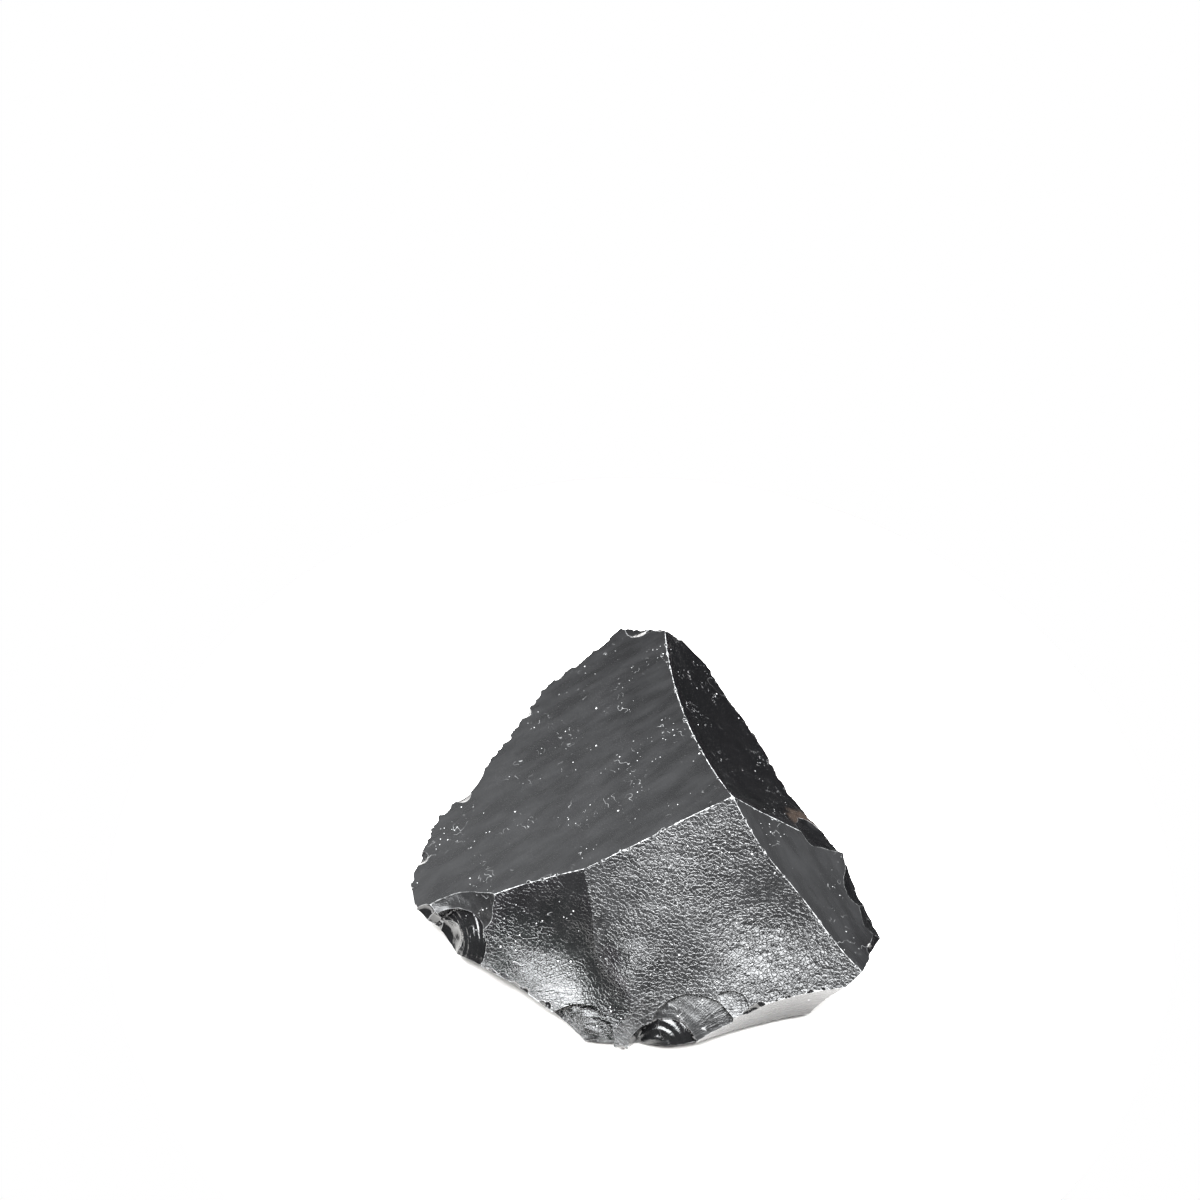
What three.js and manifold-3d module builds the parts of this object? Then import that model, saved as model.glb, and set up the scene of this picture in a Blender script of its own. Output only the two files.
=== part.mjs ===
// A chunk of black obsidian, as it lies on a table: one solid of volcanic glass, bounded by the faces that
// breaking it left. Millimetres, +Z up, +X to the right, -Y towards the viewer. The origin is at the bottom
// centre of the chunk's box, on the flat face that it rests on.
import * as THREE from "three";
import { mergeVertices } from "three/addons/utils/BufferGeometryUtils.js";
import Module from "manifold-3d";

// The corners of the chunk: the top ridges, the rim that is widest, and the edge of the face it rests on.
const CORNERS = {
  peak: [13.3, -7, 30],
  crest: [3.5, 37, 19],
  shoulder: [-10.5, -13.6, 19.5],
  brow: [-34, -14.5, 9],

  rim_back_left: [-4, 41, 15],
  rim_left_high: [-17.6, 30.7, 10.5],
  rim_left_low: [-34.5, 6.5, 6.2],
  rim_left_tip: [-39.4, -7, 6],
  rim_brow: [-33, -20.6, 6],
  rim_front: [-26.8, -24.2, 4.8],
  rim_nose_left: [-9.5, -37, 3],
  rim_nose: [0, -37.4, 3],
  rim_nose_right: [5.4, -37.4, 3.6],
  rim_lip: [30.3, -31.6, 12],
  rim_front_right: [33.4, -29.5, 14.9],
  rim_right_tip: [37.6, -21.6, 12],
  rim_right: [31.4, -8.3, 17],
  rim_back_right: [11, 36, 15],

  foot_back: [2, 33, 0],
  foot_left_high: [-6, 30, 0],
  foot_left: [-19.4, 14, 0],
  foot_left_tip: [-29.4, -3, 0],
  foot_tip: [-33, -12.3, 0],
  foot_front: [-18.7, -25, 0],
  foot_nose: [-2, -33.3, 0],
  foot_lip: [17.2, -31.6, 0],
  foot_right_tip: [29.6, -23.8, 0],
  foot_right: [29, -15, 0],
  wall_right: [30, -6, 4],
  wall_back_right: [20, 14, 0],
};

// The faces of the chunk. Each is a fracture through three corners. `across` and `along` are its radii of
// curvature, level across the face and up its slope: positive is hollow and negative is bulging.
const FACES = {
  left_slope: { through: ["peak", "crest", "rim_left_tip"], across: -900, along: 900 },
  right_slope: { through: ["peak", "crest", "rim_right"], across: 115, along: 300 },
  front_left: { through: ["shoulder", "brow", "rim_front"], across: -400, along: 150 },
  front_right: { through: ["peak", "shoulder", "rim_nose"], across: 900, along: 600 },
  right_end: { through: ["peak", "rim_right", "rim_front_right"], across: 75, along: 150 },
  back_end: { through: ["rim_back_left", "crest", "rim_back_right"], across: -40, along: -60 },
  right_wall: { through: ["rim_right_tip", "rim_back_right", "wall_back_right"], across: 700, along: 60 },
  lip: { through: ["rim_nose_right", "rim_lip", "foot_lip"], across: 50, along: 60 },
  under_back: { through: ["rim_back_left", "rim_back_right", "foot_back"], across: 80, along: 60 },
  under_left_high: { through: ["rim_back_left", "rim_left_high", "foot_left_high"], across: 90, along: 50 },
  under_left: { through: ["rim_left_high", "rim_left_low", "foot_left"], across: 100, along: 60 },
  under_left_tip: { through: ["rim_left_low", "rim_left_tip", "foot_left_tip"], across: -60, along: 60 },
  under_tip: { through: ["rim_left_tip", "rim_brow", "foot_tip"], across: -60, along: 50 },
  under_front: { through: ["rim_brow", "rim_nose_left", "foot_front"], across: 60, along: 50 },
  under_nose: { through: ["rim_nose_left", "rim_nose_right", "foot_nose"], across: -60, along: 30 },
  under_right_tip: { through: ["rim_lip", "rim_right_tip", "foot_right_tip"], across: 200, along: 60 },
  under_right: { through: ["rim_right_tip", "wall_right", "foot_right"], across: 80, along: 60 },
};

// Small scars where flakes came off later: each is the dish that a ball of this radius leaves, sunk to this
// depth at a point of the surface, from the side that it points to.
const SCARS = {
  scoop: { at: [-32.3, -18, 7.6], from: [-0.35, -0.65, 0.68], radius: 9, depth: 2.4 },
  chip: { at: [-10, -33.5, 4.2], from: [-0.2, -0.62, 0.75], radius: 8, depth: 1.5 },
  fan: { at: [6.2, -34.6, 6.5], from: [-0.1, -0.63, 0.77], radius: 15, depth: 1.1 },
  nub: { at: [35.5, -19, 13.8], from: [0.8, 0.1, 0.6], radius: 6, depth: 1.5 },
  notch: { at: [13.4, 30, 14], from: [0.9, 0.44, 0.2], radius: 4.6, depth: 1.7 },
  bite: { at: [-30.2, 12, 7.4], from: [-0.79, 0.61, 0], radius: 7, depth: 2.2 },
};

// The block that the chunk is struck from, and the width and depth of a cutter that clears it.
const BLOCK = { width: 110, depth: 120, height: 44 };
const CUTTER_WIDTH = 170;
const CUTTER_DEPTH = 60;
// How finely the curved cuts are faceted: the cells across a cutter, and the segments round a ball.
const CUTTER_CELLS = 40;
const BALL_SEGMENTS = 40;
// Two points closer than this are the same corner of a mesh.
const SAME_POINT = 1e-4;
// A point well inside the chunk, on the inner side of every face.
const HEART = new THREE.Vector3(0, -4, 8);

const wasm = await Module();
wasm.setup();

function solidOf(geometry) {
  geometry.deleteAttribute("normal");
  geometry.deleteAttribute("uv");
  const merged = mergeVertices(geometry, SAME_POINT);
  return new wasm.Manifold(
    new wasm.Mesh({
      numProp: 3,
      vertProperties: merged.attributes.position.array,
      triVerts: new Uint32Array(merged.index.array),
    }),
  );
}

// The frame of a face: its first axis is level, its second is up the slope and its third is out of the solid.
function frameOf(corners) {
  const [a, b, c] = corners;
  const middle = new THREE.Vector3().add(a).add(b).add(c).divideScalar(3);
  const out = new THREE.Plane().setFromCoplanarPoints(a, b, c).normal;
  if (out.dot(HEART.clone().sub(middle)) > 0) out.negate();
  const level = new THREE.Vector3(0, 0, 1).cross(out).normalize();
  const slope = new THREE.Vector3().crossVectors(out, level);
  return new THREE.Matrix4().makeBasis(level, slope, out).setPosition(middle);
}

// A curve of this radius over the first stretch from the middle, and straight from there on.
function rise(distance, radius, reach) {
  const d = Math.abs(distance);
  return d < reach ? d ** 2 / (2 * radius) : (reach * (2 * d - reach)) / (2 * radius);
}

// The height of a face's fracture over its frame: curved, and level with the frame at the three corners.
function fractureOf(face, frame, corners) {
  const toFrame = frame.clone().invert();
  const local = corners.map((corner) => corner.clone().applyMatrix4(toFrame));
  const reachX = Math.max(...local.map((p) => Math.abs(p.x)));
  const reachY = Math.max(...local.map((p) => Math.abs(p.y)));
  const curve = (x, y) => rise(x, face.across, reachX) + rise(y, face.along, reachY);
  // The flat part that the curve is measured from, by barycentric weights of the corners.
  const weights = new THREE.Vector3();
  return (x, y) => {
    THREE.Triangle.getBarycoord(new THREE.Vector3(x, y, 0), ...local, weights);
    const chord = local.reduce((sum, p, i) => sum + weights.getComponent(i) * curve(p.x, p.y), 0);
    return curve(x, y) - chord;
  };
}

// A block that covers everything outside a face: its lower side is the fracture.
function cutterOf(face) {
  const corners = face.through.map((name) => new THREE.Vector3(...CORNERS[name]));
  const frame = frameOf(corners);
  const height = fractureOf(face, frame, corners);
  const cells = CUTTER_CELLS;
  const geometry = new THREE.BoxGeometry(CUTTER_WIDTH, CUTTER_WIDTH, CUTTER_DEPTH, cells, cells, 1);
  geometry.translate(0, 0, CUTTER_DEPTH / 2);
  const p = geometry.attributes.position;
  for (let i = 0; i < p.count; i++) {
    if (p.getZ(i) < CUTTER_DEPTH / 2) p.setZ(i, height(p.getX(i), p.getY(i)));
  }
  return solidOf(geometry.applyMatrix4(frame));
}

// The ball that leaves a scar.
function ballOf({ at, from, radius, depth }) {
  const geometry = new THREE.SphereGeometry(radius, BALL_SEGMENTS, BALL_SEGMENTS / 2);
  const outward = new THREE.Vector3(...from).normalize();
  const centre = new THREE.Vector3(...at).addScaledVector(outward, radius - depth);
  return solidOf(geometry.translate(centre.x, centre.y, centre.z));
}

function knap() {
  const block = new THREE.BoxGeometry(BLOCK.width, BLOCK.depth, BLOCK.height);
  let solid = solidOf(block.translate(0, 0, BLOCK.height / 2));
  for (const face of Object.values(FACES)) solid = solid.subtract(cutterOf(face));
  for (const scar of Object.values(SCARS)) solid = solid.subtract(ballOf(scar));
  return solid;
}

// The solid's surface, moved over the table so that the middle of its box is at the origin.
function geometryOf(solid) {
  const mesh = solid.getMesh();
  const geometry = new THREE.BufferGeometry();
  geometry.setAttribute("position", new THREE.BufferAttribute(mesh.vertProperties, 3));
  geometry.setIndex(new THREE.BufferAttribute(mesh.triVerts, 1));
  geometry.computeBoundingBox();
  const middle = geometry.boundingBox.getCenter(new THREE.Vector3());
  geometry.translate(-middle.x, -middle.y, 0);
  geometry.computeVertexNormals();
  return geometry;
}

const obsidian = new THREE.MeshStandardMaterial({ color: 0x0d0d0f, roughness: 0.25, metalness: 0 });
const chunk = new THREE.Mesh(geometryOf(knap()), obsidian);
chunk.name = "chunk";

const group = new THREE.Group();
group.add(chunk);
export default group;
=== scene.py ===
"""A chunk of black obsidian on a pale floor: one solid of volcanic glass with smooth and rough faces, sharp
ridges, rippled scars and chipped edges. Its shape is worked out in millimetres and built in metres."""

import math

import bpy
import numpy as np
from mathutils import Matrix, Vector


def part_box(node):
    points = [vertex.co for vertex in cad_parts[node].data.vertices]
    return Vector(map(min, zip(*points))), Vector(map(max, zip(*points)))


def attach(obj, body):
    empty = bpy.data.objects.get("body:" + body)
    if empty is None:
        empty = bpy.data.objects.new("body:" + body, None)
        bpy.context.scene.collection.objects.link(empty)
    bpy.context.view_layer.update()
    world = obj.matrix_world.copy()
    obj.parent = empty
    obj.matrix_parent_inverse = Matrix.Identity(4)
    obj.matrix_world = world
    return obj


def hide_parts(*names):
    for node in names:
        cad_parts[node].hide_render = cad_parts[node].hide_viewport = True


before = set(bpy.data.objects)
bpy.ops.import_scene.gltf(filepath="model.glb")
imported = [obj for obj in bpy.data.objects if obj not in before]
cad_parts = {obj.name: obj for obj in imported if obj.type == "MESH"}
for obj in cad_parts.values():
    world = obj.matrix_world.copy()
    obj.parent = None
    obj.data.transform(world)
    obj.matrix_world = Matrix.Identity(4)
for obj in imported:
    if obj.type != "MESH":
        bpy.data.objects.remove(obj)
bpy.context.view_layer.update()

MM = 0.001

# ---------------------------------------------------------------- the chunk's driving dimensions, millimetres
CORNERS = {
    "peak": (13.3, -7, 30),
    "crest": (3.5, 37, 19),
    "shoulder": (-10.5, -13.6, 19.5),
    "brow": (-34, -14.5, 9),
    "rim_back_left": (-4, 41, 15),
    "rim_left_high": (-17.6, 30.7, 10.5),
    "rim_left_low": (-34.5, 6.5, 6.2),
    "rim_left_tip": (-39.4, -7, 6),
    "rim_brow": (-33, -20.6, 6),
    "rim_front": (-26.8, -24.2, 4.8),
    "rim_nose_left": (-9.5, -37, 3),
    "rim_nose": (0, -37.4, 3),
    "rim_nose_right": (5.4, -37.4, 3.6),
    "rim_teeth_left": (13.0, -35.4, 6.6),
    "rim_teeth_right": (19.0, -34.4, 8.4),
    "rim_lip": (30.3, -31.6, 12),
    "rim_front_right": (33.4, -29.5, 14.9),
    "rim_right_tip": (37.6, -21.6, 12),
    "rim_right": (31.4, -8.3, 17),
    "rim_back_right": (11, 36, 15),
    "foot_back": (2, 33, 0),
    "foot_left_high": (-6, 30, 0),
    "foot_left": (-19.4, 14, 0),
    "foot_left_tip": (-29.4, -3, 0),
    "foot_tip": (-33, -12.3, 0),
    "foot_front": (-18.7, -25, 0),
    "foot_nose": (-2, -33.3, 0),
    "foot_lip": (17.2, -31.6, 0),
    "foot_right_tip": (29.6, -23.8, 0),
    "foot_right": (29, -15, 0),
    "wall_right": (30, -6, 4),
    "wall_back_right": (20, 14, 0),
}

# Each face is a fracture through three corners, with radii of curvature level across it and up its slope.
FACES = {
    "left_slope": (("peak", "crest", "rim_left_tip"), -900, 900),
    "right_slope": (("peak", "crest", "rim_right"), 115, 300),
    "front_left": (("shoulder", "brow", "rim_front"), -400, 200),
    "front_right": (("peak", "shoulder", "rim_nose"), 900, 420),
    "right_end": (("peak", "rim_right", "rim_front_right"), 75, 150),
    "back_end": (("rim_back_left", "crest", "rim_back_right"), -40, -60),
    "right_wall": (("rim_right_tip", "rim_back_right", "wall_back_right"), 700, 60),
    "lip": (("rim_nose_right", "rim_lip", "foot_lip"), 50, 60),
    "under_back": (("rim_back_left", "rim_back_right", "foot_back"), 80, 60),
    "under_left_high": (("rim_back_left", "rim_left_high", "foot_left_high"), 90, 50),
    "under_left": (("rim_left_high", "rim_left_low", "foot_left"), 100, 60),
    "under_left_tip": (("rim_left_low", "rim_left_tip", "foot_left_tip"), -60, 60),
    "under_tip": (("rim_left_tip", "rim_brow", "foot_tip"), -60, 50),
    "under_front": (("rim_brow", "rim_nose_left", "foot_front"), 60, 50),
    "under_nose": (("rim_nose_left", "rim_nose_right", "foot_nose"), -60, 30),
    "under_right_tip": (("rim_lip", "rim_right_tip", "foot_right_tip"), 200, 60),
    "under_right": (("rim_right_tip", "wall_right", "foot_right"), 80, 60),
}

# Each scar is the dish of a ball: where it is, the side it was struck from, its radius and its depth.
SCARS = {
    "scoop_bevel": ((-31.9, -15.4, 8.0), (-0.30, -0.43, 0.85), 20, 0.5),
    "scoop_heart": ((-33.6, -17.2, 4.8), (-0.50, -0.60, 0.62), 5.0, 2.0),
    "scoop_rim": ((-35.6, -14.6, 6.6), (-0.75, -0.35, 0.55), 2.6, 0.7),
    "chip_left": ((-14.2, -33.4, 3.4), (-0.4, -0.7, 0.6), 4.0, 0.7),
    "chip_low": ((-12.0, -35.4, 2.6), (-0.3, -0.8, 0.5), 2.4, 0.7),
    "fan_spall": ((0.2, -37.2, 3.0), (-0.30, -0.60, 0.74), 3.6, 0.8),
    "nub": ((35.5, -19, 13.8), (0.8, 0.1, 0.6), 7, 1.2),
    "nub_top": ((33.8, -15.6, 14.6), (0.7, 0.3, 0.65), 7, 0.6),
    "nub_low": ((36.6, -22.6, 12.6), (0.75, -0.3, 0.6), 6, 0.55),
    "nub_side": ((37.0, -19.4, 12.2), (0.9, 0.1, 0.4), 5, 0.5),
    "sliver": ((28.6, -8.2, 18.9), (0.45, 0.6, 0.65), 16, 0.75),
    "notch": ((13.4, 30.4, 14.6), (0.95, 0.3, 0.1), 4.2, 2.5),
    "bite": ((-30.2, 12, 7.4), (-0.79, 0.61, 0), 7, 1.9),
    "left_flake": ((-28.6, 12.6, 9.0), (-0.5, 0.45, 0.75), 3.6, 0.5),
    "left_flake_low": ((-30.6, 8.6, 8.4), (-0.55, 0.4, 0.73), 3.4, 0.55),
    "tip_flake": ((-37.6, -2.6, 6.4), (-0.6, 0.2, 0.75), 3.0, 0.45),
    "top_flake": ((-1.4, 37.6, 17.2), (-0.2, 0.75, 0.65), 4.5, 0.5),
    "top_flake_left": ((-7.4, 38.6, 14.8), (-0.4, 0.75, 0.55), 3.6, 0.5),
}

# A stepped scar has a bulging floor that ends at a wall. The floor: a point on it, the way it faces there and
# its radius. The wall: the middle and radius of the ball that it lies on.
STEPPED_SCARS = {
    "scoop": ((-31.1, -18.3, 4.6), (-0.60, -0.54, 0.59), 16, (-31.3, -18.6, 5.2), 5.8),
    "fan": ((6.8, -33.0, 6.3), (-0.12, -0.585, 0.80), 30, (6.8, -36.2, 4.7), 7.2),
    "fan_inner": ((3.2, -35.4, 3.3), (-0.17, -0.68, 0.71), 10, (2.2, -37.4, 2.8), 5.4),
    "chip": ((-10.8, -33.0, 2.1), (-0.26, -0.56, 0.79), 14, (-11.2, -34.9, 1.6), 6.2),
    "spall": ((12.6, -31.5, 9.2), (-0.1, -0.46, 0.88), 20, (13.0, -33.0, 8.8), 2.7),
}

# Soft hills and hollows in a face: the middle, the radius and the height.
SWELLS = {
    "front_left": (
        ((-17, -21.5, 10.5), 7, -1.6),
        ((-10, -26, 8.5), 6, -1.35),
        ((-3, -24, 13), 4.5, 0.6),
        ((2, -18, 17.5), 8.5, 0.7),
        ((-3, -26.5, 10), 5, 0.9),
    ),
    "front_right": (
        ((-17, -21.5, 10.5), 7, -1.6),
        ((-10, -26, 8.5), 6, -1.35),
        ((2, -18, 17.5), 8.5, 0.7),
        ((-3, -26.5, 10), 5, 0.9),
        ((8, -23, 15.5), 6, 0.25),
        ((-4, -30.5, 6.8), 5, 0.75),
        ((19.5, -23.5, 18), 8, -1.8),
    ),
    "right_wall": (((17.5, 20.0, 12.3), 8.5, 2.6),),
    "left_slope": (((-14, 10, 15), 14, 0.12), ((4, 0, 26), 9, -0.1)),
}

# Ripples in a scar: where the blow fell, their spacing and height, and how far from the blow they fade out.
RIPPLES = {
    "scoop": ((-35.5, -17.5, 4.5), 0.85, 0.08, 14),
    "chip": ((-10.0, -36.5, 1.5), 1.2, 0.04, 9),
    "fan": ((1.2, -37.6, 3.2), 1.6, 0.02, 16),
    "fan_inner": ((0.0, -38.2, 2.0), 1.3, 0.10, 11),
    "nub": ((38.5, -21.5, 12.0), 0.8, 0.05, 8),
}

# The scars whose floor is rougher or smoother than the others', and how many times as rough it is.
CRUMBLED = {
    "chip": 3.0,
    "chip_left": 2.4,
    "chip_low": 2.4,
    "spall": 3.0,
    "scoop_heart": 3.6,
    "scoop": 1.6,
    "fan": 0.4,
    "nub": 3.0,
    "nub_top": 3.6,
    "nub_low": 3.6,
    "nub_side": 3.6,
    "left_flake": 1.8,
    "left_flake_low": 1.8,
}

# Layers of small hills, each with a spacing and a height: in the floor of a scar, in the wall of a stepped
# scar, and the sideways wander of a ripple, of a scar's outline and of a nick's outline.
SCAR_RELIEF = ((3.2, 0.14), (1.3, 0.05))
WALL_RELIEF = ((2.6, 0.35), (1.1, 0.12))
RIPPLE_WANDER = ((3.0, 0.35),)
OUTLINE_SIZE, OUTLINE_WANDER = 2.4, 0.35
NICK_WANDER_SIZE, NICK_WANDER = 1.6, 0.3

# Each broken edge: the faces on its two sides, where it runs from and to, the spacing of its nicks and the
# size of the largest.
WORN_EDGES = (
    ("left_slope", "under_left_high", "rim_back_left", "rim_left_high", 0.9, 1.3),
    ("left_slope", "under_left", "rim_left_high", "rim_left_low", 0.8, 1.6),
    ("left_slope", "under_left_tip", "rim_left_low", "rim_left_tip", 0.8, 1.6),
    ("front_left", "under_front", "rim_brow", "rim_nose_left", 0.9, 1.1),
    ("front_right", "under_nose", "rim_nose_left", "rim_nose_right", 0.8, 1.2),
    ("front_right", "lip", "rim_nose_right", "rim_lip", 1.3, 0.7),
    ("front_right", "lip", "rim_teeth_left", "rim_teeth_right", 0.35, 1.5),
    ("right_end", "right_wall", "rim_right_tip", "rim_right", 0.9, 1.5),
    ("right_slope", "right_wall", "rim_right", "rim_back_right", 0.9, 1.1),
    ("back_end", "left_slope", "crest", "rim_back_left", 0.8, 1.4),
    ("back_end", "right_slope", "crest", "rim_back_right", 0.8, 1.4),
    ("back_end", "under_back", "rim_back_left", "rim_back_right", 1.2, 1.2),
    ("left_slope", "right_slope", "peak", "crest", 1.6, 0.6),
    ("left_slope", "front_right", "peak", "shoulder", 1.6, 0.5),
    ("left_slope", "front_left", "shoulder", "brow", 1.6, 0.5),
    ("front_right", "right_end", "peak", "rim_front_right", 1.6, 0.5),
    ("right_slope", "right_end", "peak", "rim_right", 1.4, 0.6),
    ("right_wall", "under_right", "rim_right_tip", "wall_right", 1.6, 1.2),
    ("under_left_high", "under_left", "rim_left_high", "foot_left", 2.0, 0.9),
)

# How rough each face's break is: layers of hills, each with a spacing and a height.
SATIN = ((14.0, 0.12), (5.0, 0.035), (1.7, 0.012))
WAVY = ((13.0, 0.18), (4.5, 0.07), (1.7, 0.03))
HACKLED = ((11.0, 0.2), (4.6, 0.07), (2.0, 0.02), (0.95, 0.015))
RELIEF = {
    "left_slope": SATIN,
    "right_end": SATIN,
    "right_slope": WAVY,
    "lip": SATIN,
    "front_left": HACKLED,
    "front_right": HACKLED,
}

# The grain of each face: a line that it follows, or the place of the blow that it fans out from.
GRAIN_LINES = {
    "left_slope": ((-33, -5, 7.5), (0, 12, 21)),
    "right_slope": ((12, 0, 27), (6, 34, 19)),
    "right_end": ((30, -25, 16), (20, -9, 25)),
}
BLOWS = {
    "front_left": (-26, -28, 4),
    "front_right": (0, -39, 2),
}
FAN_RADIUS = 12.0

# Each face's finish: loss of gloss, grain, streaks along the flow, and dusty film, which on the lip is
# thicker as painted reflection of the floor.
FINISH = {
    "left_slope": (0.26, 0.10, 0.04, 0.010),
    "right_slope": (0.14, 0.10, 0.08, 0.001),
    "right_end": (0.25, 0.10, 0.04, 0.010),
    "front_left": (0.19, 0.55, 1.2, 0.006),
    "front_right": (0.25, 1.0, 0.40, 0.012),
    # the lip's thicker film is partly painted reflection of the bright floor
    "lip": (0.25, 0.15, 0.05, 0.03),
    "fan": (0.30, 0.20, 0.8, 0.010),
    "scoop_bevel": (0.28, 0.15, 0.3, 0.010),
    "chip": (0.12, 0.7, 0.7, 0.004),
    "spall": (0.25, 0.9, 0.3, 0.03),
}
SCAR_FINISH = (0.12, 0.12, 0.25, 0.004)

# A brown weathered patch: the face it is on, its middle and its radius.
STAIN = ("right_slope", (27.6, -3.2, 17.0), 4.6)

# Where a face's grain is rougher (+) or smoother (-) than elsewhere: the middle, the radius and the change.
GRAIN_SPOTS = (
    ((21, -27, 14), 9, 0.25),
    ((-2, -17, 18), 8, -0.25),
    ((16, -12, 26), 5, 0.2),
    ((-3, -32, 6), 6, 0.05),
)

# How white the ridges are painted, as crushed glass and as painted highlight: on the great ridges, around
# scars and on other edges. Where two surfaces meet at an angle whose sine is below the first number there is
# none.
# It is full once the sine has grown by the second.
WHITE_RIDGES = ("left_slope", "right_slope", "right_end", "front_left", "front_right")
GREAT_WEAR_AND_HIGHLIGHT = 0.6
SCAR_WEAR_AND_HIGHLIGHT = 0.16
OTHER_WEAR_AND_HIGHLIGHT = 0.4
RIGHT_END_SHARE = 0.7
WEAR_AND_HIGHLIGHT_FROM, WEAR_AND_HIGHLIGHT_GROWTH = 0.25, 0.3
LEAST_SINE = 0.05      # two surfaces that meet at less than this are taken to meet at this
FARTHEST_RIDGE = 9     # distances to a ridge are stored up to this many mm

# The nicks: how far they lean from one face to the other, how much they sway from that, their size as a share
# of the edge's largest, and their depth as a share of their radius.
NICK_LEANS = (0.15, 0.85)
NICK_SWAY = 0.25
NICK_SIZES = (0.35, 1.0)
NICK_DEPTHS = (0.12, 0.42)

SCAR_NAMES = (*SCARS, *STEPPED_SCARS, "nicks")

# The finished mesh's edge lengths, by place.
FINE_EDGE = 0.23       # in scars and nicks
RIDGE_EDGE = 0.27      # along the ridges
GRAINY_EDGE = 0.41     # on the front faces
PLAIN_EDGE = 0.75      # elsewhere

HEART = np.array((0.0, -4.0, 8.0))   # a point well inside the chunk
CELL = 0.6             # the first mesh's cell
CELL_REACH = 0.62      # how far from its cell's middle a first vertex may settle on a ridge, in cells
BLOCK = 8              # how many cells are looked at together
SPLIT_OVER = 1.4       # an edge is halved when it is this many times the wanted length
SPLIT_REACH = 0.36     # how far the new vertex may settle on a ridge, as a share of that edge
SOFTENING = 1e-3       # keeps the settling steady where surfaces meet almost level
RIDGE_BAND = 0.5       # where the two highest surfaces differ by less, the mesh counts as ridge
SOLE = 1.0             # below this height the mesh is plain
SLOPE_STEP = 0.02      # the step that slopes are measured over
SAME_SPOT = 0.0002     # points this close together are one point
NEAR = 3.0             # a surface's small relief is worked out only this close to it
LOWEST = -99.0         # lower than any surface's height
NO_NICK = -9.0         # the height of the nicks' surface far from any nick
SEED = 7

GLASS = (0.002, 0.002, 0.0022, 1)
# the grey of the dusty film, and of the painted reflection on the lip
FILM_AND_SHEEN = (0.30, 0.30, 0.31, 1)
WEATHERED = (0.026, 0.019, 0.015, 1)
# the grey of dust specks and of the painted glints
DUST_AND_GLINT = (0.60, 0.60, 0.60, 1)
# the grey of the crushed glass and painted highlight along the ridges
CRUSHED_AND_HIGHLIGHT = (0.50, 0.50, 0.50, 1)
CARD = (0.01, 0.01, 0.01, 1)
PALE = (0.64, 0.62, 0.60, 1)
LIGHT_COLOUR = (0.965, 0.985, 1.0)
LIGHT_DISTANCE = 0.7   # from the chunk to the upright lights, in metres
LOOK_DOWN = 49         # how far below level the camera looks, in degrees


# ---------------------------------------------------------------- noise
def lattice(x, y, z, seed):
    """A repeatable random number from -1 to 1 for each whole-number point."""
    mixed = x * 374761393 + y * 668265263 + z * 2147483647 + seed * 1274126177
    mixed = (mixed ^ (mixed >> 13)) * 1274126177
    mixed = mixed ^ (mixed >> 16)
    return (mixed & 0xFFFF) / 32767.5 - 1.0


def noise(points, size, seed):
    """Smooth noise from -1 to 1 whose features are `size` mm apart."""
    scaled = points / size
    cell = np.floor(scaled).astype(np.int64)
    share = scaled - cell
    share = share * share * (3 - 2 * share)
    total = 0.0
    for dx in (0, 1):
        for dy in (0, 1):
            for dz in (0, 1):
                weight = (
                    (share[:, 0] if dx else 1 - share[:, 0])
                    * (share[:, 1] if dy else 1 - share[:, 1])
                    * (share[:, 2] if dz else 1 - share[:, 2])
                )
                total = total + weight * lattice(cell[:, 0] + dx, cell[:, 1] + dy, cell[:, 2] + dz, seed)
    return total


def layered(points, layers, seed):
    """The sum of layers of noise, each with a spacing and a height."""
    total = 0.0
    for level, (size, amount) in enumerate(layers):
        total = total + amount * noise(points, size, seed + level)
    return total


def wander(points, size):
    """Smooth noise with three parts, to push points about with."""
    return np.stack([noise(points, size, SEED + axis) for axis in (11, 12, 13)], 1)


# ---------------------------------------------------------------- the surfaces that bound the chunk
def rise(distance, radius, reach):
    """A curve of this radius over the first stretch from the middle, and straight from there on."""
    away = np.abs(distance)
    return np.where(away < reach, away * away, reach * (2 * away - reach)) / (2 * radius)


def slopes(surface, points):
    """How fast the surface's height changes along each axis."""
    base = surface.height(points)
    steps = SLOPE_STEP * np.eye(3)
    return np.stack([(surface.height(points + step) - base) / SLOPE_STEP for step in steps], 1)


class Face:
    """A curved fracture through three corners. Its height is negative inside the chunk."""

    def __init__(self, name):
        through, self.across, self.along = FACES[name]
        self.name = name
        corners = np.array([CORNERS[corner] for corner in through], float)
        self.middle = corners.mean(0)
        out = np.cross(corners[1] - corners[0], corners[2] - corners[0])
        out /= np.linalg.norm(out)
        if out @ (HEART - self.middle) > 0:
            out = -out
        level = np.cross((0, 0, 1), out)
        level /= np.linalg.norm(level)
        self.axes = np.array((level, np.cross(out, level), out))
        local = (corners - self.middle) @ self.axes.T
        self.reach = np.abs(local[:, :2]).max(0)
        bent = self.bend(local[:, 0], local[:, 1])
        self.chord = np.linalg.solve(np.c_[local[:, :2], np.ones(3)], bent)
        self.relief = RELIEF.get(name, WAVY)

    def bend(self, x, y):
        return rise(x, self.across, self.reach[0]) + rise(y, self.along, self.reach[1])

    def height(self, points):
        local = (points - self.middle) @ self.axes.T
        x, y = local[:, 0], local[:, 1]
        chord = self.chord[0] * x + self.chord[1] * y + self.chord[2]
        height = local[:, 2] - (self.bend(x, y) - chord)
        near = height > -NEAR
        for middle, radius, hill in SWELLS.get(self.name, ()):
            away = points[near] - np.array(middle)
            height[near] -= hill * np.exp(-(away * away).sum(1) / radius**2)
        for level, (size, amount) in enumerate(self.relief):
            height[near] += amount * noise(points[near], size, SEED + level)
        return height


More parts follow.
